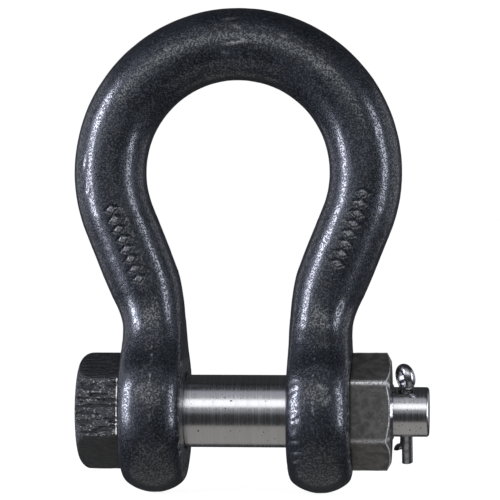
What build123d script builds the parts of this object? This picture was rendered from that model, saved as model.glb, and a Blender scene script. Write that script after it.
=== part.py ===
from build123d import *
from math import atan2, cos, radians, sin, sqrt, tan
import os

# Bow shackle with a safety bolt, nut and split pin, nominal size 22 mm.
# Millimetres. The origin is on the bolt's axis, midway between the ears.
# +X runs along the bolt from its head to its nut, and +Z up to the crown.

# Bow
stock = 24.0                # bar diameter round the bow
bow_radius = 42.4           # centreline radius of the round part
bow_centre_z = 79.0         # centre of the round part above the bolt's axis
leg_lean = 22.0             # degrees that each leg slopes inward below the round part
neck_radius = 50.0          # bend that brings a leg upright above its ear
jaw = 34.0                  # clear width between the ears
ear_thickness = 21.0
ear_radius = 27.0
rim_radius = 14.2           # crown across the thickness of an ear's rim
rim_fillet = 3.0            # between the rim and the ear's flat faces
bolt_hole = 25.0            # diameter of the hole in each ear
hole_chamfer = 0.5
neck_thickness = 20.8       # leg measured along X, just above the ear
neck_middle = 21.8          # the same halfway round the bend
neck_root = 16.0            # height inside the ear where the neck starts
neck_blend = 30.0           # radius, in the YZ plane, between the leg and the round ear

# Bolt
shank = 24.0                # plain diameter
across_flats = 34.0         # hexagon of the head and of the nut
head_height = 14.4
head_rounding = 5.0         # radius round the head's outer end
head_turn = -7.4            # degrees about X that the head's hexagon rests at
shank_end = 37.0            # X where the plain shank stops, inside the ear
thread = 22.0               # outside diameter of the thread
thread_root = 19.3
pitch = 2.5
thread_end = 51.7           # X where the thread stops
tip = 16.4                  # diameter of the plain end that carries the split pin
tip_end = 63.3              # X of the bolt's end face
tip_chamfer = 1.0
pin_hole = 4.6              # diameter of the cross hole
pin_hole_mouth = 6.2        # countersink diameter
pin_x = 55.6                # X of the cross hole
pin_lean = 25.0             # degrees about X that the cross hole leans towards -Y

# Nut
nut_height = 12.8
nut_bevel = 1.4             # length of the bevel at the nut's outer corners
nut_mouth = 1.0             # radial depth of the countersink at each end of the nut's thread
nut_turn = -3.0             # degrees about X that the nut's hexagon rests at
thread_gap = 0.15           # radial clearance between the two threads

# Split pin, bent from half-round wire
wire_radius = 2.0
leg_gap = 0.3               # between the flat sides of the two legs
eye_radius = 2.5            # inside the eye
eye_neck_radius = 3.0       # outward bend between the legs and the eye
straight_leg = 10.5         # length of the near leg below the bolt
eye_lift = 0.2              # straight part of the legs that stands out above the bolt
curl_start = 2.0            # straight part of the far leg below the bolt
curl_radius = 6.3           # flat side, outside the curl of the far leg
curl_angle = 76.0
pin_plane_turn = 57.0       # degrees from the XZ plane to the plane of the eye and legs

ear_x = (jaw + ear_thickness) / 2
ear_face = jaw / 2 + ear_thickness
across_corners = across_flats / cos(radians(30))
slope_30 = tan(radians(30))     # thread flanks


def in_xz(x, z):
    return Vector(x, 0, z)


def section_plane(x, z, lean):
    """Plane across a leg at (x, z), where the leg leans outward by lean degrees."""
    direction = (sin(radians(lean)), 0, cos(radians(lean)))
    return Plane(origin=(x, 0, z), x_dir=(0, 1, 0), z_dir=direction)


def neck_points():
    """Upper and lower ends of the bend above the +X ear, as (x, z) pairs."""
    lean = radians(leg_lean)
    round_x = bow_radius * cos(lean)
    round_z = bow_centre_z - bow_radius * sin(lean)
    corner_z = round_z - (round_x - ear_x) / tan(lean)
    tangent = neck_radius * tan(lean / 2)
    upper = (ear_x + tangent * sin(lean), corner_z + tangent * cos(lean))
    lower = (ear_x, corner_z - tangent)
    return upper, lower


def bow_bar():
    """Round bar over the crown, down to the bend above each ear."""
    lean = radians(leg_lean)
    side = in_xz(bow_radius * cos(lean), bow_centre_z - bow_radius * sin(lean))
    other_side = Vector(-side.X, 0, side.Z)
    crown = in_xz(0, bow_centre_z + bow_radius)
    neck_x, neck_z = neck_points()[0]
    path = Wire([
        Edge.make_line(in_xz(neck_x, neck_z), side),
        Edge.make_three_point_arc(side, crown, other_side),
        Edge.make_line(other_side, in_xz(-neck_x, neck_z)),
    ])
    section = section_plane(neck_x, neck_z, leg_lean) * Circle(stock / 2)
    return sweep(section, path=path)


def ear_outline_half_width(z):
    """Half the ear's width along Y at height z: round ear, blend arc, then leg."""
    blend_y = stock / 2 + neck_blend
    blend_z = sqrt((ear_radius + neck_blend) ** 2 - blend_y ** 2)
    if z > blend_z:
        return stock / 2
    if z > blend_z * ear_radius / (ear_radius + neck_blend):
        return blend_y - sqrt(neck_blend ** 2 - (blend_z - z) ** 2)
    return sqrt(ear_radius ** 2 - z ** 2)


def neck():
    """Leg from the end of the round bar, through the bend, into the +X ear."""
    (upper_x, upper_z), (lower_x, lower_z) = neck_points()
    half_lean = radians(leg_lean / 2)
    middle_x = ear_x + neck_radius * (1 - cos(half_lean))
    middle_z = lower_z + neck_radius * sin(half_lean)
    thin = neck_thickness / 2
    root = section_plane(ear_x, neck_root, 0) * Ellipse(ear_outline_half_width(neck_root), thin)
    bottom = section_plane(lower_x, lower_z, 0) * Ellipse(ear_outline_half_width(lower_z), thin)
    middle = section_plane(middle_x, middle_z, leg_lean / 2) * Ellipse(
        ear_outline_half_width(middle_z), neck_middle / 2
    )
    top = section_plane(upper_x, upper_z, leg_lean) * Circle(stock / 2)
    return loft([root.face(), bottom.face(), middle.face(), top.face()])


def ear():
    """Ear round the X axis: flat faces, crowned rim and a through hole."""
    half = ear_thickness / 2
    hole = bolt_hole / 2
    side = ear_radius - rim_radius + sqrt(rim_radius ** 2 - half ** 2)
    outline = [
        Line((half, side), (half, hole + hole_chamfer)),
        Line((half, hole + hole_chamfer), (half - hole_chamfer, hole)),
        Line((half - hole_chamfer, hole), (hole_chamfer - half, hole)),
        Line((hole_chamfer - half, hole), (-half, hole + hole_chamfer)),
        Line((-half, hole + hole_chamfer), (-half, side)),
        ThreePointArc((-half, side), (0, ear_radius), (half, side)),
    ]
    face = make_face(Curve() + outline)
    shoulders = face.vertices().sort_by(Axis.Y)[-2:]
    return revolve(fillet(shoulders, rim_fillet), Axis.X)


def bow():
    right = neck() + Pos(ear_x, 0, 0) * ear()
    body = bow_bar() + right + mirror(right, about=Plane.YZ)
    drill = Plane.YZ.offset(-ear_face) * Cylinder(
        bolt_hole / 2, 2 * ear_face, align=(Align.CENTER, Align.CENTER, Align.MIN)
    )
    return body - drill


def hexagon(x, length, turn):
    """Hexagonal prism along X, with corners up and down before it is turned."""
    outline = Plane.YZ.offset(x) * Rot(Z=turn + 90) * RegularPolygon(across_corners / 2, 6)
    return extrude(outline, amount=length)


def turned(points):
    """Solid of revolution about X from (x, radius) points that close on the axis."""
    return revolve(make_face(Polyline(*points, close=True)), Axis.X)


def head():
    corner = across_corners / 2
    outer = -ear_face - head_height
    outline = [
        Line((-ear_face, 0), (-ear_face, corner)),
        Line((-ear_face, corner), (outer + head_rounding, corner)),
        TangentArc(
            (outer + head_rounding, corner), (outer, corner - head_rounding), tangent=(-1, 0)
        ),
        Line((outer, corner - head_rounding), (outer, 0)),
        Line((outer, 0), (-ear_face, 0)),
    ]
    blank = revolve(make_face(Curve() + outline), Axis.X)
    return hexagon(outer, head_height, head_turn) & blank


def thread_outline(start, end, gap):
    """(x, radius) points of the ridges from start to end, grown outward by gap."""
    crest = thread / 2 + gap
    root = thread_root / 2 + gap
    flank = (crest - root) * slope_30
    flat = pitch / 8
    points = [(start, root)]
    x = start + pitch / 2
    while x + flank + flat < end:
        points += [
            (x - flat / 2 - flank, root), (x - flat / 2, crest),
            (x + flat / 2, crest), (x + flat / 2 + flank, root),
        ]
        x += pitch
    return points + [(end, root)]


def pin_axis():
    """Location of the cross hole: its Z axis runs along the hole towards the eye."""
    return Pos(pin_x, 0, 0) * Rot(X=pin_lean)


def bolt():
    body = turned([
        (-ear_face, 0), (-ear_face, shank / 2), (shank_end, shank / 2),
        *thread_outline(shank_end, thread_end, 0),
        (thread_end, tip / 2), (tip_end - tip_chamfer, tip / 2),
        (tip_end, tip / 2 - tip_chamfer), (tip_end, 0),
    ])
    mouth = (pin_hole_mouth - pin_hole) / 2
    sink = Pos(0, 0, tip / 2 - mouth / 2) * Cone(pin_hole / 2, pin_hole_mouth / 2 + mouth, 2 * mouth)
    drill = Cylinder(pin_hole / 2, 2 * tip) + sink + Rot(X=180) * sink
    return head() + body - pin_axis() * drill


def nut():
    corner = across_corners / 2
    far = ear_face + nut_height
    blank = turned([
        (ear_face, 0), (ear_face, corner), (far - nut_bevel, corner), (far, across_flats / 2), (far, 0),
    ])
    tap = turned([
        (shank_end, 0), *thread_outline(shank_end, thread_end + pitch, thread_gap),
        (thread_end + pitch, 0),
    ])
    lead = thread / 2 + nut_mouth
    mouths = turned([
        (ear_face, 0), (ear_face, lead), (ear_face + lead - thread_root / 2, thread_root / 2),
        (far - lead + thread_root / 2, thread_root / 2), (far, lead), (far, 0),
    ])
    return (hexagon(ear_face, nut_height, nut_turn) & blank) - tap - mouths


def pin_path():
    """Line of the wire's flat side: curled leg, eye and straight leg, in the XZ plane."""
    flat = leg_gap / 2
    surface = tip / 2
    neck_z = surface + eye_lift
    neck_x = flat + eye_neck_radius
    eye_z = neck_z + sqrt((eye_neck_radius + eye_radius) ** 2 - neck_x ** 2)
    swing = atan2(eye_z - neck_z, neck_x)
    touch = in_xz(eye_radius * cos(swing), eye_z - eye_radius * sin(swing))
    neck_mid = in_xz(
        neck_x - eye_neck_radius * cos(swing / 2), neck_z + eye_neck_radius * sin(swing / 2)
    )

    def curl_point(angle):
        return in_xz(
            -flat - curl_radius * (1 - cos(angle)), -surface - curl_start - curl_radius * sin(angle)
        )

    def mirrored(point):
        return in_xz(-point.X, point.Z)

    curl = radians(curl_angle)
    neck_start = in_xz(flat, neck_z)
    return Wire([
        Edge.make_three_point_arc(curl_point(curl), curl_point(curl / 2), curl_point(0)),
        Edge.make_line(curl_point(0), mirrored(neck_start)),
        Edge.make_three_point_arc(mirrored(neck_start), mirrored(neck_mid), mirrored(touch)),
        Edge.make_three_point_arc(mirrored(touch), in_xz(0, eye_z + eye_radius), touch),
        Edge.make_three_point_arc(touch, neck_mid, neck_start),
        Edge.make_line(neck_start, in_xz(flat, -surface - straight_leg)),
    ])


def split_pin():
    path = pin_path()
    start = Plane(origin=path @ 0, x_dir=(0, 1, 0), z_dir=path % 0)
    half_round = start * (Circle(wire_radius) & Pos(0, wire_radius) * Rectangle(
        2 * wire_radius, 2 * wire_radius
    ))
    bent = sweep(half_round, path=path)
    return pin_axis() * Rot(Z=-pin_plane_turn) * bent


parts = {"bow": bow(), "bolt": bolt(), "nut": nut(), "split_pin": split_pin()}

os.makedirs("parts", exist_ok=True)
for name, solid in parts.items():
    solid.label = name
    export_step(solid, f"parts/{name}.step")
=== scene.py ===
import bpy
import numpy as np
from math import cos, pi, radians, sin, sqrt, tan
from mathutils import Matrix, Vector


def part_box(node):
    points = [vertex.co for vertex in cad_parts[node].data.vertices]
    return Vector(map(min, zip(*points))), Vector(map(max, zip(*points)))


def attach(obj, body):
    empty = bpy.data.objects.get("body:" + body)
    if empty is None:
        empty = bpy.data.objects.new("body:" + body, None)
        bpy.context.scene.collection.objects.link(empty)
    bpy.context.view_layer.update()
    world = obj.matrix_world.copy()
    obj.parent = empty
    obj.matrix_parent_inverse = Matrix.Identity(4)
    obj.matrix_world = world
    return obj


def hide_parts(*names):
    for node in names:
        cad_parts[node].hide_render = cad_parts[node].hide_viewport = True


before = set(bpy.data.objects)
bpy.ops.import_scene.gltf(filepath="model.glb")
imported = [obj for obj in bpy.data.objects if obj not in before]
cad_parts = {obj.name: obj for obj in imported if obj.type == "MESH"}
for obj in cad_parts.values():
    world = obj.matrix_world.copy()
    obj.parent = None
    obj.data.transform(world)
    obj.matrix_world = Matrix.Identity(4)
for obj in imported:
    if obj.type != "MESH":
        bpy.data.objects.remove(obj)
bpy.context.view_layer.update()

mm = 0.001


def gridMesh(name, points, closeRows=False, poles=True, flip=False):
    # Rows run along the piece and columns round it, so column n joins column 0.
    # With poles the first and last rows are each closed by triangles round their middle
    # point; with closeRows the last row joins the first, as on a ring.
    rows, cols = points.shape[:2]
    flat = points.reshape(-1, 3)
    index = np.arange(rows * cols).reshape(rows, cols)
    quadRows = index if closeRows else index[:-1]
    nextRows = np.roll(index, -1, 0) if closeRows else index[1:]
    quads = np.stack([
        quadRows, np.roll(quadRows, -1, 1), np.roll(nextRows, -1, 1), nextRows
    ], -1).reshape(-1, 4)
    tris = np.zeros((0, 3), int)
    if poles and not closeRows:
        first, last = rows * cols, rows * cols + 1
        flat = np.vstack([flat, points[0].mean(0), points[-1].mean(0)])
        firstFan = np.stack([np.full(cols, first), np.roll(index[0], -1), index[0]], -1)
        lastFan = np.stack([np.full(cols, last), index[-1], np.roll(index[-1], -1)], -1)
        tris = np.vstack([firstFan, lastFan])
    if flip:
        quads, tris = quads[:, ::-1], tris[:, ::-1]
    corners = np.concatenate([quads.ravel(), tris.ravel()]).astype(np.int32)
    sizes = np.concatenate([np.full(len(quads), 4), np.full(len(tris), 3)]).astype(np.int32)
    mesh = bpy.data.meshes.new(name)
    mesh.vertices.add(len(flat))
    mesh.vertices.foreach_set("co", (flat * mm).astype(np.float32).ravel())
    mesh.loops.add(len(corners))
    mesh.loops.foreach_set("vertex_index", corners)
    mesh.polygons.add(len(sizes))
    starts = np.concatenate([[0], np.cumsum(sizes)[:-1]]).astype(np.int32)
    mesh.polygons.foreach_set("loop_start", starts)
    mesh.update(calc_edges=True)
    mesh.validate()
    return mesh


def addPiece(name, mesh, body, node):
    # An object for the mesh, on its body and in place of its CAD node.
    piece = bpy.data.objects.new(name, mesh)
    bpy.context.scene.collection.objects.link(piece)
    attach(piece, body)
    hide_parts(node)
    return piece


def boxOf(node):
    # The CAD node's low and high corner, in mm.
    return np.array(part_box(node)) / mm


def drilled(mesh, cutter):
    # The mesh with the closed cutter mesh taken away from it.
    blank = bpy.data.objects.new("blank", mesh)
    tool = bpy.data.objects.new("tool", cutter)
    for thing in (blank, tool):
        bpy.context.scene.collection.objects.link(thing)
    cut = blank.modifiers.new("cut", "BOOLEAN")
    cut.operation = "DIFFERENCE"
    cut.solver = "EXACT"
    cut.object = tool
    bpy.context.view_layer.update()
    graph = bpy.context.evaluated_depsgraph_get()
    result = bpy.data.meshes.new_from_object(blank.evaluated_get(graph))
    result.name = mesh.name
    for thing in (blank, tool):
        bpy.data.objects.remove(thing)
    bpy.data.meshes.remove(cutter)
    return result


def smooth(mesh, sharpAngle):
    # Smooth shading, with edges past sharpAngle degrees kept sharp.
    mesh.polygons.foreach_set("use_smooth", np.ones(len(mesh.polygons), bool))
    mesh.set_sharp_from_angle(angle=radians(sharpAngle))


def pointAttribute(mesh, name, values):
    # One number for each grid point, and zero at the poles.
    full = np.zeros(len(mesh.vertices), np.float32)
    full[:values.size] = values.ravel()
    mesh.attributes.new(name, "FLOAT", "POINT").data.foreach_set("value", full)


def ease(x, low, high):
    # 3t^2 - 2t^3 with t from 0 at low to 1 at high.
    t = np.clip((x - low) / (high - low), 0, 1)
    return t * t * (3 - 2 * t)


def softMin(a, b, power):
    # (a^-p + b^-p)^(-1/p): close to the smaller of two lengths, with a rounded corner.
    tiny = 1e-6
    low = np.maximum(np.minimum(a, b), tiny)
    shareA, shareB = np.maximum(a, tiny) / low, np.maximum(b, tiny) / low
    return low * (shareA ** -power + shareB ** -power) ** (-1 / power)


def waves(points, size, seed, count=24):
    # A smooth random field around 0, mostly within -1.5 and 1.5: the sum of count sine
    # waves in random directions, with wavelengths near size, divided by sqrt(count).
    rng = np.random.default_rng(seed)
    directions = rng.normal(size=(count, 3))
    directions /= np.linalg.norm(directions, axis=1)[:, None]
    lengths = size * rng.uniform(0.6, 1.7, count)
    phases = rng.uniform(0, 2 * pi, count)
    total = np.zeros(points.shape[:-1])
    for direction, length, phase in zip(directions, lengths, phases):
        total += np.sin(points @ direction * (2 * pi / length) + phase)
    return total / sqrt(count)


def planarPath(start, lean, runs, step):
    # A line in the XZ plane that starts at start, leaning lean degrees from +Z towards
    # +X, and whose lean changes evenly along each (length, turn) run: x is the running
    # sum of sin(lean), z of cos(lean). Gives distance, x, z and lean in radians.
    ends = np.cumsum([0] + [length for length, turn in runs])
    leans = np.radians(np.cumsum([lean] + [turn for length, turn in runs]))
    distance = np.linspace(0, ends[-1], int(ends[-1] / step) + 1)
    angle = np.interp(distance, ends, leans)
    middle = (angle[1:] + angle[:-1]) / 2
    gaps = np.diff(distance)
    x = start[0] + np.concatenate([[0], np.cumsum(np.sin(middle) * gaps)])
    z = start[1] + np.concatenate([[0], np.cumsum(np.cos(middle) * gaps)])
    return distance, x, z, angle


def spaced(gapAt, end):
    # Row places from 0 to end, whose gaps follow the function gapAt.
    fine = np.linspace(0, end, 4000)
    count = np.concatenate([[0], np.cumsum(np.diff(fine) / gapAt((fine[1:] + fine[:-1]) / 2))])
    total = int(round(count[-1]))
    return np.interp(np.linspace(0, count[-1], total + 1), count, fine)


def hexRadius(angle, flats, turn, power=60):
    # Distance from the axis to a hexagon's side at each angle: half the flats divided by
    # (sum of c^power)^(1/power), with c the cosine of the angle to each of the six side
    # directions. A lower power rounds the corners more.
    total = np.zeros_like(angle)
    for side in range(6):
        facing = np.cos(angle - radians(turn + 60 * side))
        total += np.maximum(facing, 0) ** power
    return flats / 2 / total ** (1 / power)


def asPoints(x, y, z):
    # Three coordinate arrays, stretched to one shape and joined as points.
    return np.stack(np.broadcast_arrays(x, y, z), -1)


def roundAboutX(x, radius, angle):
    # Points at (x, radius) turned by angle about X, from +Y towards +Z.
    return asPoints(x, radius * np.cos(angle), radius * np.sin(angle))


def evenAngles(count):
    # One row of angles round the circle, 2 pi / count apart.
    return np.linspace(0, 2 * pi, count, endpoint=False)[None, :]


bowLow, bowHigh = boxOf("bow")
bowSizes = {
    "stock": 24.0,            # bar diameter
    "earThickness": 21.0,
    "earX": 27.5,             # middle of an ear
    "lean": 22.0,             # degrees each leg slopes outward, going up
    "neckBend": 50.0,         # radius of the bend above the ear
    "rim": 14.2,              # radius of the crown across the ear's rim
    "blend": 30.0,            # radius between leg and round ear, seen from the side
    "hole": 25.0,
    "holeChamfer": 0.5,
    "unevenness": 0.10,       # forged surface, in mm
    "unevenWaves": ((15.0, 3, 0.55), (5.0, 4, 0.3), (2.4, 5, 0.15)),  # size, seed, share
    "markRise": 0.50,         # plain lozenges raised on each leg
    "markGroove": 0.28,       # depth of the sunken line round each one
    "markGap": 3.5,
    "markCount": 8,
    "markLength": 1.35,       # half, along the leg
    "markWidth": 2.1,         # half, round the leg
    "markTop": 0.66,          # share of the lozenge where its slope starts
    "markLine": (1.16, 0.15),     # the sunken line's place and half width, as such shares
    "markStarts": (71.5, 77.0),   # distance of the first one along the left and right leg
    "markedPart": (67, 104),  # where the rows stand closest
    "rowGaps": (0.62, 0.34, 0.90),    # before, along and after that part
    "tipRows": (6, 0.25, 0.058),      # length at each end, first gap in it and its growth
    "earToBar": (14, 40),     # heights between which the ear's section becomes the bar's
    "partingLine": -1.0,      # its place across the thickness
    "partingWidth": 0.26,
    "partingRise": 0.26,
    "partingEnds": (20, 30, 48, 54),  # where it comes up and dies away, along the leg
    "edgeChips": 10.3,        # bare spots this far from the middle of an ear
    "chipWidth": 0.4,
    "chipEnd": 44,            # how far up the leg they go
    "dotSize": 1.7,           # of the dots that are left of the parting line
    "markWearAndHighlight": 0.65,         # how pale the lozenges are painted: worn paint and painted highlight on their rims
    "partingWear": 1.5,
    "knockWear": 2.6,
    "columns": 150,
    "towardsFront": 0.40,     # how much closer the columns stand on the front
}
bowSizes["earRadius"] = -bowLow[2]
bowSizes["roundRadius"] = bowHigh[0] - bowSizes["stock"] / 2
bowSizes["roundCentre"] = bowHigh[2] - bowHigh[0]
# height above the bolt and half thickness of a leg
legProfile = [(0, 10.4), (30, 10.5), (36, 11.1), (42, 11.8), (50, 12.0), (160, 12.0)]


def bowPath(b):
    # Upright leg, bend outward, straight, then the round part over the crown; the other
    # half is its mirror image.
    lean = radians(b["lean"])
    roundX = b["roundRadius"] * cos(lean)
    roundZ = b["roundCentre"] - b["roundRadius"] * sin(lean)
    cornerZ = roundZ - (roundX - b["earX"]) / tan(lean)
    tangent = b["neckBend"] * tan(lean / 2)
    straight = (roundX - b["earX"]) / sin(lean) - tangent
    runs = [
        (cornerZ - tangent + b["earRadius"], 0),
        (b["neckBend"] * lean, b["lean"]),
        (straight, 0),
        (b["roundRadius"] * (pi / 2 + lean), -90 - b["lean"]),
    ]
    distance, x, z, angle = planarPath((b["earX"], -b["earRadius"]), 0, runs, 0.05)
    whole = np.concatenate([distance, 2 * distance[-1] - distance[-2::-1]])
    return (
        whole,
        np.concatenate([x, -x[-2::-1]]),
        np.concatenate([z, z[-2::-1]]),
        np.concatenate([angle, -pi - angle[-2::-1]]),
    )


def earOutline(b, height):
    # Half width along Y: round ear, then a blend arc up to the leg's half stock.
    half = b["stock"] / 2
    blendY = half + b["blend"]
    blendZ = sqrt((b["earRadius"] + b["blend"]) ** 2 - blendY ** 2)
    joinZ = blendZ * b["earRadius"] / (b["earRadius"] + b["blend"])
    ear = np.sqrt(np.maximum(b["earRadius"] ** 2 - height ** 2, 0))
    blend = blendY - np.sqrt(np.maximum(b["blend"] ** 2 - (blendZ - height) ** 2, 0))
    return np.where(height > blendZ, half, np.where(height > joinZ, blend, ear))


def rimDepth(b, height, across):
    # Distance inward from the outline seen from the side.
    half = b["stock"] / 2
    blendY = half + b["blend"]
    blendZ = sqrt((b["earRadius"] + b["blend"]) ** 2 - blendY ** 2)
    ear = b["earRadius"] - np.hypot(across, height)
    blend = np.hypot(blendY - np.abs(across), blendZ - height) - b["blend"]
    leg = half - np.abs(across)
    useBlend = (np.abs(across) * blendZ < blendY * height) & (height <= blendZ)
    return np.maximum(np.where(height > blendZ, leg, np.where(useBlend, blend, ear)), 0)


def bowSurface(b):
    # A section carried along the path. Across the section y = width * sin(turn), and the
    # thickness is a circle's on the bar, h = a * sqrt(1 - (y / width)^2), and on the ear
    # the crowned rim's, h = sqrt(2 * rim * depth - depth^2), held to half the ear.
    distance, x, z, angle = bowPath(b)
    end = distance[-1]

    def gap(s):
        fromEnd = np.minimum(s, end - s)
        first, last = b["markedPart"]
        before, along, after = b["rowGaps"]
        tip, firstGap, growth = b["tipRows"]
        body = np.where(fromEnd < first, before, np.where(fromEnd < last, along, after))
        return np.where(fromEnd < tip, firstGap + growth * fromEnd, body)

    rows = spaced(gap, end)[1:-1]
    fromEnd = np.minimum(rows, end - rows)[:, None]
    height = fromEnd - b["earRadius"]
    pathX = np.interp(rows, distance, x)[:, None]
    pathZ = np.interp(rows, distance, z)[:, None]
    lean = np.interp(rows, distance, angle)[:, None]
    even = evenAngles(b["columns"])
    turn = even - b["towardsFront"] * np.sin(even - 1.5 * pi)
    across = earOutline(b, height) * np.sin(turn)
    side = np.where(np.cos(turn) < 0, -1, 1)
    legHeight, legHalf = zip(*legProfile)
    leg = np.interp(height, legHeight, legHalf) * np.abs(np.cos(turn))
    depth = rimDepth(b, height, across)
    crown = np.sqrt(np.maximum(depth * (2 * b["rim"] - np.minimum(depth, b["rim"])), 0))
    crown = np.where(depth > b["rim"], b["rim"], crown)
    ear = softMin(crown, b["earThickness"] / 2 * np.ones_like(crown), 14)
    share = ease(height, *b["earToBar"])
    off = side * (ear * (1 - share) + leg * share)
    points = asPoints(pathX + off * np.cos(lean), across, pathZ - off * np.sin(lean))
    return points, fromEnd, turn, off


def relief(b, points, fromEnd, turn):
    # A row of raised lozenges: 1 where |along| / markLength + |round| / markWidth is
    # small, easing to 0 where it is 1, with a Gaussian groove just outside. Each place
    # belongs to the lozenge nearest along the leg. The front of the bow is where turn is
    # three quarters of a circle.
    around = (turn - 1.5 * pi) * b["stock"] / 2
    left, right = b["markStarts"]
    first = np.where(points[..., 0] < 0, left, right)
    number = np.clip(np.round((fromEnd - first) / b["markGap"]), 0, b["markCount"] - 1)
    along = fromEnd - first - number * b["markGap"]
    inside = np.abs(along) / b["markLength"] + np.abs(around) / b["markWidth"]
    line, width = b["markLine"]
    groove = np.exp(-((inside - line) / width) ** 2)
    return 1 - ease(inside, b["markTop"], 1.0), groove


# Knocks on the front: x, z, degrees of tilt, half length, half width, depth.
knocks = [
    (-0.5, 121.4, 8, 2.6, 0.45, 0.34), (2.4, 122.6, -20, 1.6, 0.45, 0.22),
    (-3.0, 118.0, 5, 1.2, 0.5, 0.16), (0.5, 126.3, -30, 1.6, 0.6, 0.22),
    (-2.0, 129.2, 10, 2.2, 0.5, 0.15), (16.0, 123.0, -25, 1.2, 0.5, 0.2),
    (27.5, 113.5, -50, 1.3, 0.6, 0.2), (-22.0, 119.0, 30, 0.9, 0.5, 0.18),
    (-49.5, 82.0, 80, 2.4, 0.6, 0.22), (-48.5, 73.0, 75, 1.6, 0.6, 0.2),
    (47.0, 92.0, 85, 1.4, 0.5, 0.18), (35.5, 37.0, 70, 1.1, 0.5, 0.2),
    (34.4, 34.0, 60, 0.8, 0.5, 0.2), (30.5, 28.5, 20, 0.7, 0.6, 0.2),
    (-21.8, 8.5, 85, 1.2, 0.6, 0.18), (19.6, 10.5, 15, 1.5, 0.34, 0.24),
    (19.4, 7.6, 25, 1.2, 0.34, 0.24), (20.0, 4.2, -20, 1.6, 0.36, 0.26),
    (19.8, 1.5, 10, 1.7, 0.36, 0.26), (20.6, -1.5, 25, 1.4, 0.34, 0.26),
    (20.2, -4.8, 70, 1.3, 0.34, 0.24), (20.4, -8.6, 10, 1.4, 0.34, 0.24),
    (20.8, -12.4, 4, 1.5, 0.32, 0.24), (20.6, -15.2, 12, 1.3, 0.32, 0.22),
    (31.0, 5.5, 40, 1.5, 0.5, 0.2), (29.0, 8.8, -30, 1.4, 0.5, 0.18),
    (-30.5, 8.0, 15, 1.6, 0.8, 0.12),
]


def knockDepth(points):
    # Each knock is a Gaussian dent, depth * exp(-(s / length)^2 - (t / width)^2), seen
    # from the front and only on the front half.
    total = np.zeros(points.shape[:-1])
    for x, z, tilt, length, width, depth in knocks:
        dx, dz = points[..., 0] - x, points[..., 2] - z
        s = (dx * cos(radians(tilt)) + dz * sin(radians(tilt))) / length
        t = (dz * cos(radians(tilt)) - dx * sin(radians(tilt))) / width
        total += depth * np.exp(-s * s - t * t)
    return total * (points[..., 1] < 0)


def normalsOf(points):
    # Cross product of the differences along the rows and round the columns.
    along = np.gradient(points, axis=0)
    around = (np.roll(points, -1, 1) - np.roll(points, 1, 1)) / 2
    normal = np.cross(around, along)
    return normal / np.maximum(np.linalg.norm(normal, axis=-1, keepdims=True), 1e-9)


def drillMesh(radius, mouth, faces, reach):
    # A rod along X with a cone that opens by mouth at each ear face.
    x, r = [-reach], [radius]
    for face in faces:
        x += [face - mouth, face, face + mouth]
        r += [radius, radius + mouth, radius]
    x, r = np.array(x + [reach]), np.array(r + [radius])
    return gridMesh("drill", roundAboutX(x[:, None], r[:, None], evenAngles(96)))


def makeBow(b):
    # The section surface, moved along its normals by the sum of the forging's unevenness,
    # the lozenges, the parting line and the knocks, then drilled through both ears.
    points, fromEnd, turn, off = bowSurface(b)
    normal = normalsOf(points)
    outward = np.sign(np.sum((points - points.mean(1, keepdims=True)) * normal, -1).mean())
    normal = normal * outward
    marks, groove = relief(b, points, fromEnd, turn)
    dents = knockDepth(points)
    uneven = sum(share * waves(points, size, seed) for size, seed, share in b["unevenWaves"])
    # the parting line of the dies, ground back until only dots of it are left
    comes, full, fades, gone = b["partingEnds"]
    seam = np.exp(-((off - b["partingLine"]) / b["partingWidth"]) ** 2)
    seam = seam * ease(fromEnd, comes, full) * (1 - ease(fromEnd, fades, gone))
    dots = ease(waves(points, b["dotSize"], seed=8), low=0.1, high=0.7)
    chips = np.exp(-((np.abs(off) - b["edgeChips"]) / b["chipWidth"]) ** 2)
    chips = chips * (off * points[..., 0] > 0) * (fromEnd < b["chipEnd"])
    # the unevenness goes mostly inward, and the clip below holds the rest to the CAD box
    rise = b["unevenness"] * (uneven - 1.0) * 0.5 + b["partingRise"] * seam * dots - dents
    rise = rise + b["markRise"] * marks - b["markGroove"] * groove
    points = np.clip(points + normal * rise[..., None], bowLow, bowHigh)
    mesh = gridMesh("bowForging", points, flip=outward < 0)
    # Pale grey: worn paint on the parting line's dots, the knocks and the edge chips, and on the
    # lozenges also painted highlight.
    wearAndHighlight = b["markWearAndHighlight"] * marks + b["partingWear"] * seam * dots + b["knockWear"] * dents
    wearAndHighlight = wearAndHighlight + chips * dots
    pointAttribute(mesh, "wearAndHighlight", np.clip(wearAndHighlight, 0, 1))
    low, high = b["earX"] - b["earThickness"] / 2, b["earX"] + b["earThickness"] / 2
    drill = drillMesh(b["hole"] / 2, b["holeChamfer"], (-high, -low, low, high), high + 20)
    mesh = drilled(mesh, drill)
    smooth(mesh, 38)
    return addPiece("bowForging", mesh, "bow", "bow")


bowPiece = makeBow(bowSizes)
print("bow:", len(bowPiece.data.polygons), "faces")

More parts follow.
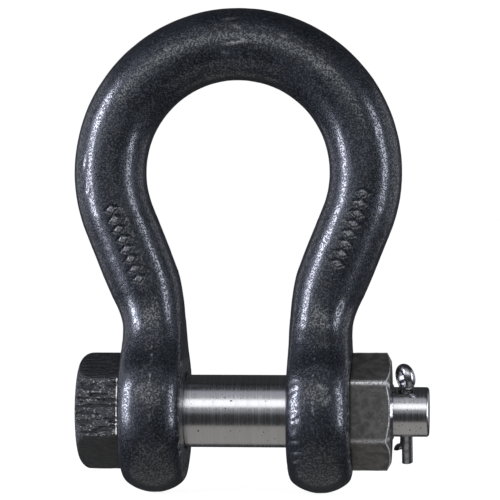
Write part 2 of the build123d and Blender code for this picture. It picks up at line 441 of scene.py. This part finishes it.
boltLow, boltHigh = boxOf("bolt")
boltSizes = {
    "start": boltLow[0],
    "end": boltHigh[0],
    "face": bowSizes["earX"] + bowSizes["earThickness"] / 2,
    "flats": 34.0,
    "headRounding": 5.0,
    "headTurn": -7.4,
    "headInnerEdge": 0.4,     # the head is this much smaller where it meets the ear
    "groove": 0.50,           # forge grooves along the head's front facet
    "sideGroove": 0.3,        # share of that depth on the other facets
    "headInset": 0.02,        # the ridges between them stand this far inside the hexagon
    "frontFacet": 0.87,       # cosine of a little less than 30 degrees, half a facet
    "ridgeWearAndHighlight": 0.36,        # how pale those ridges are painted: partly bare scale, partly painted highlight along the crests
    "edgeWear": (2.0, 0.4),   # and the head's inner edge: amount and width
    "shank": 24.0,
    "shankEnd": 37.0,
    "thread": 22.0,
    "root": 19.3,
    "pitch": 2.5,
    "threadEnd": 51.7,
    "threadCone": (10.2, 8.7),    # radii of the thread's bevelled end
    "tip": 16.4,
    "tipChamfer": 1.0,
    "pinX": 55.6,
    "pinLean": 25.0,
    "pinHole": 4.6,
    "pinMouth": 6.2,
    "columns": 300,
    "towardsFront": 0.45,     # how much closer the columns stand on the front
}


def threadRadius(b, x, angle, extra):
    # 60 degree ridges that climb one pitch for each turn, with flats at crest and root.
    # A right-hand thread moves towards +X as the angle grows.
    place = np.mod(x - b["pitch"] * angle / (2 * pi), b["pitch"])
    fromCrest = np.abs(place - b["pitch"] / 2)
    rise = (fromCrest - b["pitch"] / 16) / tan(radians(30))
    return np.clip(b["thread"] / 2 - rise, b["root"] / 2, b["thread"] / 2) + extra


def boltProfile(b):
    # (x, radius, zone) rows from the centre of the head's outer face to the tip's.
    # Zone 0 is the head, 1 turned steel, 2 the thread. The small offsets from an edge only
    # place rows beside it, which keeps it crisp.
    corner = b["flats"] / sqrt(3)
    rounding = b["headRounding"]
    start, face, end, threadEnd = b["start"], -b["face"], b["end"], b["threadEnd"]
    shankR, tipR = b["shank"] / 2, b["tip"] / 2
    innerEdge, chamfer = b["headInnerEdge"], b["tipChamfer"]
    bend = np.radians(np.linspace(4, 90, 24))
    tipBend = np.radians(np.linspace(0, 90, 7))
    parts = [
        (start, np.linspace(0.6, corner - rounding, 16), 0),
        (start + rounding * (1 - np.cos(bend)), corner - rounding + rounding * np.sin(bend), 0),
        (np.linspace(start + rounding + 0.3, face - 0.35, 26), corner, 0),
        (np.array([face - 0.1, face]), corner - innerEdge * np.array([0.3, 1.0]), 0),
        (face, np.linspace(corner - 0.8, shankR + 0.6, 12), 0),
        (face, shankR, 1),
        (np.linspace(face + 0.4, b["shankEnd"] - 0.6, 40), shankR, 1),
        (b["shankEnd"], shankR - 0.7, 1),
        (np.linspace(b["shankEnd"] + 0.2, threadEnd - 1.2, 84), b["thread"] / 2, 2),
        (threadEnd + np.linspace(-1.0, -0.1, 4), np.linspace(*b["threadCone"], 4), 1),
        (threadEnd + np.array([0, 0.3]), tipR, 1),
        (np.linspace(threadEnd + 0.6, end - chamfer - 0.2, 26), tipR, 1),
        (end - chamfer * (1 - np.sin(tipBend)), tipR - chamfer * (1 - np.cos(tipBend)), 1),
        (end, np.linspace(tipR - 1.5, 0.5, 10), 1),
    ]
    rows = [np.broadcast_arrays(*np.atleast_1d(x, r, kind)) for x, r, kind in parts]
    return [np.concatenate(column) for column in zip(*rows)]


def crossDrill(b):
    # The split pin's hole: a rod with a cone at each mouth, leaning about X.
    r, mouth, tip = b["pinHole"] / 2, b["pinMouth"] / 2, b["tip"] / 2
    z = np.array([-14, -tip - 0.4, -tip + mouth - r, tip - mouth + r, tip + 0.4, 14])
    radius = np.array([mouth + 0.4, mouth + 0.4, r, r, mouth + 0.4, mouth + 0.4])
    angle, radius = evenAngles(48), radius[:, None]
    rod = asPoints(radius * np.cos(angle), radius * np.sin(angle), z[:, None])
    lean = Matrix.Rotation(radians(b["pinLean"]), 3, "X")
    return gridMesh("crossDrill", rod @ np.array(lean).T + [b["pinX"], 0, 0])


def makeBolt(b):
    # Radius r(x) of the profile turned about X, held inside the hexagon on the head and
    # cut to the thread's ridges further along. The head's front facet is grooved along X
    # by waves that are ten times longer along X than across it, and the others less deep.
    x, r, zone = [column[:, None] for column in boltProfile(b)]
    even = evenAngles(b["columns"])
    angle = even + b["towardsFront"] * np.sin(even) + radians(b["headTurn"])
    hexagon = hexRadius(angle, b["flats"], b["headTurn"])
    inHex = softMin(r, hexagon, 90)
    thread = np.minimum(threadRadius(b, x, angle, 0), r)
    runOut = ease(x, b["shankEnd"] + 0.2, b["shankEnd"] + 3)
    thread = thread * runOut + (b["thread"] / 2) * (1 - runOut)
    radius = np.where(zone == 0, inHex, np.where(zone == 2, thread, r))
    points = roundAboutX(x, radius, angle)
    normal = normalsOf(points)
    outward = np.sign(np.sum(normal * points * [0, 1, 1], -1).mean())
    long = waves(points * [0.10, 1, 1], size=1.25, seed=21, count=60)
    short = waves(points * [0.5, 1, 1], size=1.2, seed=22, count=60)
    grooves = ease(long + 0.35 * short, low=0.05, high=0.6)
    onHead = (zone == 0) & (radius > b["shank"] / 2 + 0.3)
    onFront = np.cos(angle - pi - radians(b["headTurn"])) > b["frontFacet"]
    deep = np.where(onFront, b["groove"], b["sideGroove"] * b["groove"])
    sunk = np.where(onHead, deep * grooves + b["headInset"], 0.0)
    points = points - normal * (outward * sunk)[..., None]
    points = np.clip(points, boltLow, boltHigh)
    mesh = gridMesh("boltForging", points, flip=outward < 0)
    # Pale head: bare at its inner edge, and on the front facet's ridges partly bare and partly
    # painted highlight along the crests.
    amount, width = b["edgeWear"]
    bareEdge = amount * np.exp(-((x + b["face"]) / width) ** 2) * onFront
    bareAndHighlight = np.clip(bareEdge + b["ridgeWearAndHighlight"] * onFront * (1 - grooves), 0, 1)
    wearAndHighlight = np.where(zone == 0, bareAndHighlight, 0.0)
    pointAttribute(mesh, "wearAndHighlight", wearAndHighlight)
    pointAttribute(mesh, "sunken", grooves * onFront * (zone == 0))
    pointAttribute(mesh, "headPart", (zone == 0) * np.ones_like(radius))
    mesh = drilled(mesh, crossDrill(b))
    smooth(mesh, 30)
    return addPiece("boltForging", mesh, "bolt", "bolt")


boltPiece = makeBolt(boltSizes)
print("bolt:", len(boltPiece.data.polygons), "faces")

nutLow, nutHigh = boxOf("nut")
nutSizes = {
    "start": nutLow[0],
    "end": nutHigh[0],
    "flats": 34.0,
    "turn": -3.0,
    "face": 17.0,             # radius of the flat outer face
    "bevel": 1.4,             # length of the bevel at the corners
    "mouth": 1.0,             # radial depth of the countersinks
    "threadGap": 0.40,        # radial room between nut and bolt threads
    "unevenness": 0.035,
    "flatInset": 0.12,        # how far inside that radius the bevel's rows begin
    "boreInset": 0.25,
    "footHeight": 0.4,        # the sides end this far from the face that meets the ear
    "footRise": 0.2,
    "footTaper": 0.01,        # share of the radius lost there
    "seatEdge": 0.98,         # and where that face begins, as a share of the hexagon
    "cornerWear": (1.12, 30),     # share of half the flats where it starts, and its growth
    "brightCorner": 150,      # degrees round to the corner painted brightest, a painted highlight where it faces the front light
    "brightPart": 0.98,       # cosine of the angle that it takes up on each side
    "cornerBareAndHighlight": (1.2, 0.38),    # how pale that corner is painted, as painted highlight, and the others, as wear
    "rimHighlight": 1.1,           # painted highlight along the rim of the bevel, with its width
    "rimWidth": 0.32,
    "columns": 240,
}


def makeNut(n, b):
    # A ring: up the thread, out over the flat outer face, down the bevel, back along the
    # hexagon and in over the face that meets the ear. Each row stands at a share t of its
    # stretch, where radius = inner + t * (outer - inner), and the bevel is a cone.
    corner = n["flats"] / sqrt(3)
    mouth = b["thread"] / 2 + n["mouth"]
    start, end = n["start"], n["end"]
    slope = n["bevel"] / (corner - n["face"])
    flatEdge = n["face"] - n["flatInset"]
    bore, flat, bevel, side, foot, seat = range(6)
    stretches = [
        (np.linspace(0, 1, 96), bore),
        (np.linspace(0, 1, 10), flat),
        (np.linspace(0.06, 1, 16), bevel),
        (np.linspace(0.02, 1, 35), side),
        (np.array([0.4, 1.0]), foot),
        (np.linspace(1, 0, 12), seat),
    ]
    t = np.concatenate([share for share, zone in stretches])[:, None]
    zone = np.concatenate([np.full(len(share), zone) for share, zone in stretches])[:, None]
    angle = evenAngles(n["columns"]) + radians(n["turn"])
    hexagon = hexRadius(angle, n["flats"], n["turn"], 110)
    boreX = start + n["boreInset"] + t * (end - start - 2 * n["boreInset"])
    shift = b["pitch"] / 16     # half of what an eighth of a turn moves the ridges along X
    thread = threadRadius(b, boreX - shift, angle, n["threadGap"])
    bored = np.maximum(thread, mouth - np.minimum(boreX - start, end - boreX))
    bevelled = flatEdge + t * (hexagon - flatEdge)
    edgeX = end - (hexagon - n["face"]) * slope
    radius = np.select(
        [zone == bore, zone == flat, zone == bevel, zone == side, zone == foot],
        [
            bored, mouth + t * (flatEdge - mouth), bevelled, hexagon,
            hexagon * (1 - n["footTaper"] * t),
        ],
        mouth + t * (n["seatEdge"] * hexagon - mouth),
    )
    px = np.select(
        [zone == bore, zone == flat, zone == bevel, zone == side, zone == foot],
        [
            boreX, end, end - np.maximum(bevelled - n["face"], 0) * slope - 0.004 * t,
            edgeX + t * (start + n["footHeight"] - edgeX), start + n["footRise"] * (1.1 - t),
        ],
        start,
    )
    points = roundAboutX(px, radius, angle)
    outside = (zone == bevel) | (zone == side) | (zone == foot)
    uneven = n["unevenness"] * (waves(points, size=3.0, seed=31) - 1.5) * outside
    points += uneven[..., None] * points * [0, 1 / corner, 1 / corner]
    points = np.clip(points, nutLow, nutHigh)
    mesh = gridMesh("hexNut", points, closeRows=True, flip=True)
    # Pale steel: wear on every corner, and painted highlight on the corner that faces the front
    # light and along the rim of the bevel.
    starts, growth = n["cornerWear"]
    edge = np.clip((hexagon / (n["flats"] / 2) - starts) * growth, 0, 1) * outside
    bright = np.cos(angle - radians(n["turn"] + n["brightCorner"])) > n["brightPart"]
    rim = np.exp(-((radius - hexagon) / n["rimWidth"]) ** 2) * (zone == bevel)
    wearAndHighlight = edge * np.where(bright, *n["cornerBareAndHighlight"]) + n["rimHighlight"] * rim
    pointAttribute(mesh, "wearAndHighlight", np.clip(wearAndHighlight, 0, 1))
    smooth(mesh, 24)
    return addPiece("hexNut", mesh, "nut", "nut")


nutPiece = makeNut(nutSizes, boltSizes)
print("nut:", len(nutPiece.data.polygons), "faces")

pinLow, pinHigh = boxOf("split_pin")
pinSizes = {
    "wire": 2.0,              # radius of the half-round wire
    "gap": 0.3,               # between the legs' flat sides
    "eye": 2.5,               # inside radius of the eye
    "neck": 3.0,              # bend from the legs into the eye
    "lift": 0.2,              # straight part of the legs that stands out above the bolt
    "straightLeg": 10.5,
    "curlStart": 2.0,         # straight part of the far leg below the bolt
    "curlRadius": 6.3,
    "curl": 76.0,
    "planeTurn": 57.0,
    "inset": 0.8,             # from the flat side to the point that the outline is drawn from
    "rounded": 0.12,          # length of the softened edge at each tip
    "tipShrink": 0.22,        # share of the section lost there
    "tipClear": 0.2,          # no other rows this close to a tip
    "columns": 40,
    "step": 0.22,             # between rows
    "eyeStep": 0.7,           # share of that round the eye
}


def pinSection(p):
    # Half-round outline: from a point inside it, the nearer of the round side and the
    # flat side in each direction, with softened corners. u is outward from the flat.
    turn, inset = evenAngles(p["columns"]), p["inset"]
    du, dv = np.cos(turn), np.sin(turn)
    toRound = -inset * du + np.sqrt((inset * du) ** 2 + p["wire"] ** 2 - inset ** 2)
    toFlat = np.where(du < -1e-3, inset / np.maximum(-du, 1e-3), 50)
    reach = softMin(toRound, toFlat, 16)
    return inset + reach * du, reach * dv


def makePin(p, b):
    # The section carried along: curled leg, up through the bolt, round the eye and down
    # again, all in one plane, which is then turned about the hole and leaned with it.
    flat, surface = p["gap"] / 2, b["tip"] / 2
    swing = np.arctan2(
        sqrt((p["neck"] + p["eye"]) ** 2 - (flat + p["neck"]) ** 2), flat + p["neck"]
    )
    swingDegrees = np.degrees(swing)
    runs = [
        (p["curlRadius"] * radians(p["curl"]), -p["curl"]),
        (2 * surface + p["lift"] + p["curlStart"], 0),
        (p["neck"] * swing, -swingDegrees),
        (p["eye"] * (pi + 2 * swing), 180 + 2 * swingDegrees),
        (p["neck"] * swing, -swingDegrees),
        (2 * surface + p["lift"] + p["straightLeg"], 0),
    ]
    curl = radians(p["curl"])
    tipX = -flat - p["curlRadius"] * (1 - cos(curl))
    tipZ = -surface - p["curlStart"] - p["curlRadius"] * sin(curl)
    distance, x, z, lean = planarPath((tipX, tipZ), p["curl"], runs, 0.01)
    end = distance[-1]
    eyeStart = sum(length for length, turn in runs[:3])
    eyeEnd = eyeStart + runs[3][0]

    def gap(s):
        return np.where((s > eyeStart) & (s < eyeEnd), p["eyeStep"] * p["step"], p["step"])

    rounded = p["rounded"]
    tipRows = np.array([0.0, rounded / 4, rounded])
    rows = spaced(gap, end)
    rows = rows[(rows > p["tipClear"]) & (rows < end - p["tipClear"])]
    rows = np.concatenate([tipRows, rows, end - tipRows[::-1]])[:, None]
    fromEnd = np.minimum(rows, end - rows)
    shrink = 1 - p["tipShrink"] * (1 - np.clip(fromEnd / rounded, 0, 1)) ** 2
    px, pz = np.interp(rows, distance, x), np.interp(rows, distance, z)
    angle = np.interp(rows, distance, lean)
    u, v = pinSection(p)
    u = (u - p["inset"]) * shrink + p["inset"]
    v = v * shrink
    # outward from the flat is to the left of the direction of travel
    points = asPoints(px - u * np.cos(angle), v, pz + u * np.sin(angle))
    lean = Matrix.Rotation(radians(b["pinLean"]), 3, "X")
    swivel = Matrix.Rotation(-radians(p["planeTurn"]), 3, "Z")
    points = points @ np.array(lean @ swivel).T + [b["pinX"], 0, 0]
    points = np.clip(points, pinLow, pinHigh)
    mesh = gridMesh("splitPin", points, flip=True)
    smooth(mesh, 42)
    return addPiece("splitPin", mesh, "split_pin", "split_pin")


pinPiece = makePin(pinSizes, boltSizes)
print("pin:", len(pinPiece.data.polygons), "faces")


class Value:
    # A socket of a node tree. Operators on it add Math nodes.
    def __init__(self, finish, socket):
        self.finish = finish
        self.socket = socket

    def calc(self, operation, *others):
        return self.finish.node("ShaderNodeMath", {"operation": operation}, self, *others)

    def __add__(self, other):
        return self.calc("ADD", other)

    def __sub__(self, other):
        return self.calc("SUBTRACT", other)

    def __mul__(self, other):
        return self.calc("MULTIPLY", other)

    def __rsub__(self, other):
        return self.finish.node("ShaderNodeMath", {"operation": "SUBTRACT"}, other, self)

    __radd__ = __add__
    __rmul__ = __mul__

    def held(self):
        return self.finish.node("ShaderNodeClamp", {}, self)


class Finish:
    # One material, with its Principled shader and the nodes that feed it.
    def __init__(self, name, **settings):
        self.material = bpy.data.materials.new(name)
        self.material.use_nodes = True
        self.tree = self.material.node_tree
        self.shader = self.tree.nodes["Principled BSDF"]
        for socket, value in settings.items():
            self.shader.inputs[socket.replace("_", " ")].default_value = value

    def node(self, kind, settings, *values, out=0, **named):
        made = self.tree.nodes.new(kind)
        for key, value in settings.items():
            setattr(made, key, value)
        for place, value in enumerate(values):
            self.feed(made.inputs[place], value)
        for socket, value in named.items():
            self.feed(made.inputs[socket.replace("_", " ")], value)
        return Value(self, made.outputs[out])

    def feed(self, socket, value):
        if isinstance(value, Value):
            self.tree.links.new(value.socket, socket)
        elif isinstance(value, tuple) and len(value) == 3 and socket.type == "RGBA":
            socket.default_value = (*value, 1)
        else:
            socket.default_value = value

    def coords(self, stretch=(1, 1, 1)):
        # Object coordinates in millimetres, times stretch: below 1 draws a pattern out.
        place = self.node("ShaderNodeTexCoord", {}, out="Object")
        scale = tuple(s / mm for s in stretch)
        return self.node("ShaderNodeVectorMath", {"operation": "MULTIPLY"}, place, scale)

    def noise(self, where, scale, detail=3.0, roughness=0.55, distortion=0.0):
        return self.node(
            "ShaderNodeTexNoise", {}, Vector=where, Scale=scale, Detail=detail,
            Roughness=roughness, Distortion=distortion,
        )

    def ramp(self, value, low, high):
        # 0 at low, 1 at high, eased between.
        return self.node(
            "ShaderNodeMapRange", {"interpolation_type": "SMOOTHSTEP"}, value, low, high, 0.0, 1.0
        )

    def mixColour(self, share, first, second):
        # First colour at 0 and second at 1. A Mix node's colours are its inputs 6 and 7.
        made = self.tree.nodes.new("ShaderNodeMix")
        made.data_type = "RGBA"
        for place, value in ((0, share), (6, first), (7, second)):
            self.feed(made.inputs[place], value)
        return Value(self, made.outputs[2])

    def attribute(self, name):
        return self.node("ShaderNodeAttribute", {"attribute_name": name}, out="Fac")

    def bump(self, height, distance, strength=1.0, below=None):
        made = self.tree.nodes.new("ShaderNodeBump")
        made.inputs["Strength"].default_value = strength
        made.inputs["Distance"].default_value = distance * mm
        self.feed(made.inputs["Height"], height)
        if below is not None:
            self.feed(made.inputs["Normal"], below)
        return Value(self, made.outputs[0])

    def finishWith(self, **sockets):
        for socket, value in sockets.items():
            self.feed(self.shader.inputs[socket.replace("_", " ")], value)
        return self.material


def paintedForging():
    # Blue-black paint over a shot-blasted forging: fine grain, soft mottling, and bare
    # grey where raised marks and knocks have rubbed through, and on the lozenges also a painted
    # highlight for their lit rims.
    f = Finish(
        "paintedForging", IOR=1.38, Coat_Roughness=0.17, Coat_IOR=1.6,
        Specular_Tint=(0.9, 0.95, 1, 1),
    )
    where = f.coords()
    grain = f.noise(where, 1.7, 2.0, 0.6)
    coarse = f.noise(where, 0.75, 3.0, 0.55)
    patches = f.noise(where, 0.09, 4.0, 0.6, 0.4)
    freckles = f.ramp(f.noise(where, 2.3, 2.0, 0.5), 0.66, 0.74)
    wearAndHighlight = f.attribute("wearAndHighlight")
    # chips: pale grey where the paint is worn, and on the lozenges also painted highlight
    chips = (wearAndHighlight * f.ramp(f.noise(where, 1.6, 3.0, 0.6), 0.36, 0.62)).held()
    dark, light = (0.0020, 0.0026, 0.0034), (0.0045, 0.0054, 0.0070)
    paint = f.mixColour(f.ramp(patches, 0.35, 0.68), dark, light)
    paint = f.mixColour(f.ramp(grain, 0.50, 0.62), paint, (0.013, 0.015, 0.020))
    paint = f.mixColour(freckles * 0.35, paint, (0.10, 0.105, 0.115))
    colour = f.mixColour(chips * 0.75, paint, (0.20, 0.20, 0.205))
    rough = 0.29 + 0.06 * f.ramp(patches, 0.3, 0.7) + 0.12 * f.ramp(grain, 0.35, 0.7)
    gloss = f.ramp(grain, 0.48, 0.56) * (1.0 - 0.3 * f.ramp(patches, 0.35, 0.7))
    fine = f.bump(grain * 0.8 + coarse * 0.6, 0.16, 0.75)
    return f.finishWith(Base_Color=colour, Roughness=rough, Coat_Weight=gloss, Normal=fine)


def turnedSteel():
    # Bright shank and tip with marks round the axis, and black forge scale on the head, pale where
    # it is worn and, on the front facet's ridges, as painted highlight.
    f = Finish("turnedSteel", IOR=1.5)
    where = f.coords()
    rings = f.noise(f.coords((1, 0.012, 0.012)), 2.6, 5.0, 0.7)
    broad = f.noise(f.coords((1, 0.03, 0.03)), 0.35, 3.0, 0.5)
    pits = f.ramp(f.noise(where, 0.9, 3.0, 0.55), 0.66, 0.70)
    head = f.attribute("headPart")
    streaks = f.noise(f.coords((0.25, 1, 1)), 1.5, 5.0, 0.65, 0.3)
    flakes = f.ramp(f.noise(f.coords((0.6, 1, 1)), 2.2, 3.0, 0.65), 0.56, 0.68)
    wearAndHighlight = f.attribute("wearAndHighlight")
    bareAndHighlight = f.ramp(wearAndHighlight, 0.45, 0.9)
    steel = f.mixColour(f.ramp(rings, 0.3, 0.7), (0.48, 0.475, 0.485), (0.56, 0.555, 0.565))
    steel = f.mixColour(f.ramp(broad, 0.4, 0.75) * 0.35, steel, (0.44, 0.42, 0.40))
    steel = f.mixColour(pits * 0.8, steel, (0.05, 0.045, 0.04))
    scale = f.mixColour(f.ramp(streaks, 0.35, 0.7), (0.0035, 0.004, 0.0045), (0.010, 0.011, 0.012))
    # pale flakes and bare steel where worn, and as painted highlight on the front facet's ridges
    scale = f.mixColour((flakes * (0.05 + 2.6 * wearAndHighlight)).held(), scale, (0.26, 0.26, 0.255))
    scale = f.mixColour(bareAndHighlight, scale, (0.70, 0.67, 0.62))
    colour = f.mixColour(head, steel, scale)
    metal = 1.0 - head * (1.0 - 0.6 * bareAndHighlight)
    turned = 0.17 + 0.14 * f.ramp(rings, 0.3, 0.75) + 0.3 * pits
    rough = turned * (1.0 - head) + head * (0.40 + 0.2 * streaks + 0.3 * f.attribute("sunken"))
    turnBump = f.bump(rings * (1.0 - head), 0.010, 0.6)
    scaleBump = f.bump(streaks * head, 0.55, 0.9, turnBump)
    return f.finishWith(Base_Color=colour, Metallic=metal, Roughness=rough, Normal=scaleBump)


def darkNut():
    # Dark oxide with brown mottling, and pale steel on worn edges, and as painted highlight on the
    # bevel's rim and the corner that faces the front light.
    f = Finish("darkNut", IOR=1.5)
    where = f.coords()
    mottle = f.noise(where, 0.35, 5.0, 0.65, 0.4)
    grain = f.noise(where, 1.9, 4.0, 0.6)
    specks = f.ramp(f.noise(where, 2.2, 2.0, 0.5), 0.63, 0.72)
    wearAndHighlight = f.attribute("wearAndHighlight")
    wornAndHighlight = (wearAndHighlight * f.ramp(grain, 0.38, 0.52)).held()
    colour = f.mixColour(f.ramp(mottle, 0.35, 0.68), (0.036, 0.035, 0.034), (0.078, 0.075, 0.070))
    colour = f.mixColour(specks * 0.4, colour, (0.22, 0.21, 0.19))
    # pale steel where worn, and painted highlight on the bevel's rim and the front corner
    colour = f.mixColour(wornAndHighlight * 0.95, colour, (0.75, 0.75, 0.73))
    rough = 0.52 + 0.12 * mottle - 0.14 * wornAndHighlight
    fine = f.bump(grain * 0.6 + mottle * 0.4, 0.10, 0.7)
    metal = 0.45 + 0.45 * wornAndHighlight
    return f.finishWith(Base_Color=colour, Metallic=metal, Roughness=rough, Normal=fine)


def drawnWire():
    # Bright drawn wire with faint marks along it.
    f = Finish("drawnWire", IOR=1.5)
    where = f.coords()
    marks = f.noise(where, 1.3, 4.0, 0.6, 0.5)
    stain = f.ramp(f.noise(where, 0.5, 3.0, 0.5), 0.45, 0.7)
    colour = f.mixColour(marks, (0.26, 0.26, 0.27), (0.48, 0.48, 0.49))
    colour = f.mixColour(stain * 0.6, colour, (0.12, 0.115, 0.11))
    rough = 0.18 + 0.14 * marks + 0.1 * stain
    fine = f.bump(marks, 0.02, 0.4)
    return f.finishWith(Base_Color=colour, Metallic=1.0, Roughness=rough, Normal=fine)


for piece, make in (
    (bowPiece, paintedForging), (boltPiece, turnedSteel), (nutPiece, darkNut), (pinPiece, drawnWire)
):
    piece.data.materials.clear()
    piece.data.materials.append(make())
print("materials: done")

studio = {
    "aim": Vector((4.05, 0, 53.3)) * mm,  # middle of the view
    "azimuth": 4.8,                       # degrees the camera stands towards +X
    "elevation": 0.3,
    "distance": 1.0,
    "viewWidth": 0.1654,                  # width seen at the aim
    "paper": 0.20,                        # floor's own shade under the lights
    "glow": 0.93,                         # and what it gives out, to stay even
    "floorBend": 1.8,                     # metres out to where the floor turns up
    "wallRise": 3.0,
    "floorGap": 0.0002,
    "roomColour": (0.9, 0.93, 1.0, 1),
    "roomStrength": 0.05,
}
# azimuth from the camera, elevation, distance, width, height, watts, colour
softboxes = {
    "keyBox": (-10, 26, 1.2, 1.5, 0.54, 5.4, (0.96, 0.98, 1)),
    "keyFade": (-10, 55, 1.2, 1.5, 0.60, 1.6, (0.88, 0.89, 1.0)),
    "frontFill": (-15, 4, 1.2, 1.3, 0.42, 0.55, (0.9, 0.92, 1.0)),
    "leftStrip": (-71, 8, 1.1, 0.34, 0.9, 22.0, (0.82, 0.84, 1.0)),
    "rightStrip": (60, 6, 1.1, 0.32, 0.9, 8.5, (0.82, 0.85, 1.0)),
    "leftWall": (-118, 6, 1.3, 0.9, 1.2, 2.6, (0.86, 0.89, 1.0)),
    "rightWall": (108, 6, 1.3, 1.0, 1.2, 3.2, (0.86, 0.89, 1.0)),
    "lowCard": (0, -86, 0.9, 1.2, 1.5, 2.2, (1.0, 0.97, 0.93)),
}


def seenFrom(azimuth, elevation, distance, aim):
    # The place at that distance from aim: azimuth turns from -Y towards +X, in degrees.
    a, e = radians(azimuth), radians(elevation)
    return aim + distance * Vector((sin(a) * cos(e), -cos(a) * cos(e), sin(e)))


def aimed(place, target):
    # A camera's or light's matrix at place, looking at target with Z up.
    turn = (target - place).to_track_quat("-Z", "Y").to_matrix().to_4x4()
    return Matrix.Translation(place) @ turn


def makeCamera(s):
    # Focal length = sensor width * distance / width of the view.
    data = bpy.data.cameras.new("camera")
    camera = bpy.data.objects.new("camera", data)
    bpy.context.scene.collection.objects.link(camera)
    data.sensor_width = 36.0
    data.lens = data.sensor_width * s["distance"] / s["viewWidth"]
    data.clip_start, data.clip_end = 0.01, 50
    place = seenFrom(s["azimuth"], s["elevation"], s["distance"], s["aim"])
    camera.matrix_world = aimed(place, s["aim"])
    bpy.context.scene.camera = camera


def makeFloor(s):
    # A round floor that curves up into a wall all round: past the bend, with t the share
    # of the way out, z = rise * (1 - sqrt(1 - t^2)).
    bend, rise = s["floorBend"], s["wallRise"]
    curve = bend + rise * np.sin(np.linspace(0.05, 1, 30) * pi / 2)
    out = np.concatenate([np.linspace(0, bend, 12), curve])
    wall = np.clip((out - bend) / rise, 0, 0.9999)
    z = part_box("bow")[0][2] - s["floorGap"] + rise * (1 - np.sqrt(1 - wall ** 2))
    angle, out = evenAngles(96), out[:, None]
    points = asPoints(out * np.cos(angle), out * np.sin(angle), z[:, None])
    mesh = gridMesh("floor", points / mm, poles=False, flip=True)
    smooth(mesh, 60)
    floor = bpy.data.objects.new("floor", mesh)
    bpy.context.scene.collection.objects.link(floor)
    shade = s["paper"]
    paper = Finish("paper", Roughness=0.9, Base_Color=(shade, shade, shade, 1))
    paper.shader.inputs["Specular IOR Level"].default_value = 0.0
    paper.shader.inputs["Emission Color"].default_value = (1, 1, 1, 1)
    paper.shader.inputs["Emission Strength"].default_value = s["glow"]
    mesh.materials.append(paper.material)
    floor.visible_glossy = False
    floor.visible_shadow = False


def makeLights(s):
    # The softboxes, turned with the camera, and a faint even light from the room.
    for name, (azimuth, elevation, distance, width, height, power, colour) in softboxes.items():
        data = bpy.data.lights.new(name, "AREA")
        data.shape = "RECTANGLE"
        data.size, data.size_y = width, height
        data.energy = power
        data.color = colour
        light = bpy.data.objects.new(name, data)
        bpy.context.scene.collection.objects.link(light)
        place = seenFrom(azimuth + s["azimuth"], elevation, distance, s["aim"])
        light.matrix_world = aimed(place, s["aim"])
        light.visible_camera = False
    world = bpy.data.worlds.new("room")
    world.use_nodes = True
    world.node_tree.nodes["Background"].inputs["Color"].default_value = s["roomColour"]
    world.node_tree.nodes["Background"].inputs["Strength"].default_value = s["roomStrength"]
    bpy.context.scene.world = world


makeCamera(studio)
makeFloor(studio)
makeLights(studio)
bpy.context.scene.view_settings.view_transform = "Standard"
print("studio: done")
